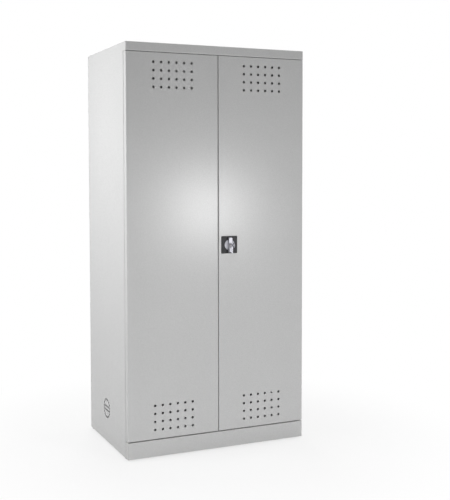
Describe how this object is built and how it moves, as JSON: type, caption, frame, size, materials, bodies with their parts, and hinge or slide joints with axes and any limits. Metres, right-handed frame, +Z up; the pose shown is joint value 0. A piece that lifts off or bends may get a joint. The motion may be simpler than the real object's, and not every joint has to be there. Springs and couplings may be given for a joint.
{
  "type": "hazardous materials safety cabinet",
  "caption": "Tall free-standing sheet-steel safety cabinet for hazardous materials, with perforated swing doors, tray shelves, a rod lock with turning grip, and levelling feet.",
  "frame": {"origin": "on the floor under the middle of the overall box, from the bow of the key in the lock to the rear panel", "axes": "+X to the right seen from the front, -Y out of the front, +Z up"},
  "size_m": [0.93, 0.6626, 1.95],
  "materials": {
    "grey_powder_coat": "satin textured powder coat",
    "galvanised_sheet": "galvanised",
    "bright_steel": "zinc plated",
    "satin_nickel": "satin nickel plated die casting",
    "brass": "turned",
    "black_plastic": "fine grained moulding",
    "white_nylon": "moulded nylon",
    "black_rubber": "soft rubber"
  },
  "bodies": {
    "carcass": {"left_side_panel": "grey_powder_coat", "right_side_panel": "grey_powder_coat", "rear_panel": "grey_powder_coat", "top_panel": "grey_powder_coat", "floor_panel": "grey_powder_coat", "plinth": "grey_powder_coat", "foot_brackets": "galvanised_sheet", "sump_tray": "galvanised_sheet", "lower_tray": "galvanised_sheet", "middle_tray": "galvanised_sheet", "upper_tray": "galvanised_sheet", "tray_rails": "galvanised_sheet", "pivot_pins": "bright_steel", "upper_strike": "galvanised_sheet", "lower_strike": "galvanised_sheet", "door_buffers": "black_rubber"},
    "left_door": {"left_door_panel": "grey_powder_coat", "left_door_stiffener": "grey_powder_coat", "left_door_bushes": "white_nylon"},
    "right_door": {"right_door_panel": "grey_powder_coat", "right_door_stiffener": "grey_powder_coat", "right_door_bushes": "white_nylon", "lock_plate": "black_plastic", "lock_case": "galvanised_sheet", "lock_cover": "galvanised_sheet", "lock_screws": "bright_steel", "cover_screws": "bright_steel", "rod_guides": "white_nylon"},
    "grip": {"knob": "satin_nickel", "spindle": "bright_steel", "pinion": "bright_steel", "latch_tongue": "bright_steel", "spindle_screw": "bright_steel"},
    "key": {"lock_cylinder": "brass", "key": "satin_nickel"},
    "spare_key": {"spare_key": "satin_nickel"},
    "upper_rod": {"upper_rod": "bright_steel"},
    "lower_rod": {"lower_rod": "bright_steel"},
    "foot_front_left": {"foot_front_left": "black_plastic"},
    "foot_front_right": {"foot_front_right": "black_plastic"},
    "foot_rear_left": {"foot_rear_left": "black_plastic"},
    "foot_rear_right": {"foot_rear_right": "black_plastic"}
  },
  "joints": [
    {"name": "left_door_hinge", "type": "hinge", "parent": "carcass", "child": "left_door", "pos_m": [-0.457, -0.2487, 0.998], "axis": [0, 0, -1], "range_deg": [0, 110]},
    {"name": "right_door_hinge", "type": "hinge", "parent": "carcass", "child": "right_door", "pos_m": [0.457, -0.2487, 0.998], "axis": [0, 0, 1], "range_deg": [0, 110]},
    {"name": "grip_turn", "type": "hinge", "parent": "right_door", "child": "grip", "pos_m": [0.057, -0.2687, 1], "axis": [0, 1, 0], "range_deg": [0, 90]},
    {"name": "upper_rod_slide", "type": "slide", "parent": "right_door", "child": "upper_rod", "axis": [0, 0, 1], "range_m": [0, 0.01885]},
    {"name": "lower_rod_slide", "type": "slide", "parent": "right_door", "child": "lower_rod", "axis": [0, 0, -1], "range_m": [0, 0.01885]},
    {"name": "key_turn", "type": "hinge", "parent": "grip", "child": "key", "pos_m": [0.057, -0.2687, 1], "axis": [0, 1, 0], "range_deg": [0, 90]},
    {"name": "spare_key_swing", "type": "hinge", "parent": "right_door", "child": "spare_key", "pos_m": [0.057, -0.2687, 1], "axis": [0, 1, 0], "range_deg": [-75, 75]},
    {"name": "foot_front_left_turn", "type": "hinge", "parent": "carcass", "child": "foot_front_left", "pos_m": [-0.4475, -0.2157, 0.02], "axis": [0, 0, 1], "continuous": true},
    {"name": "foot_front_right_turn", "type": "hinge", "parent": "carcass", "child": "foot_front_right", "pos_m": [0.4475, -0.2157, 0.02], "axis": [0, 0, 1], "continuous": true},
    {"name": "foot_rear_left_turn", "type": "hinge", "parent": "carcass", "child": "foot_rear_left", "pos_m": [-0.4475, 0.3133, 0.02], "axis": [0, 0, 1], "continuous": true},
    {"name": "foot_rear_right_turn", "type": "hinge", "parent": "carcass", "child": "foot_rear_right", "pos_m": [0.4475, 0.3133, 0.02], "axis": [0, 0, 1], "continuous": true}
  ],
  "couplings": [
    {"joint": "upper_rod_slide", "follows": "grip_turn", "m_per_rad": 0.012},
    {"joint": "lower_rod_slide", "follows": "grip_turn", "m_per_rad": 0.012}
  ]
}
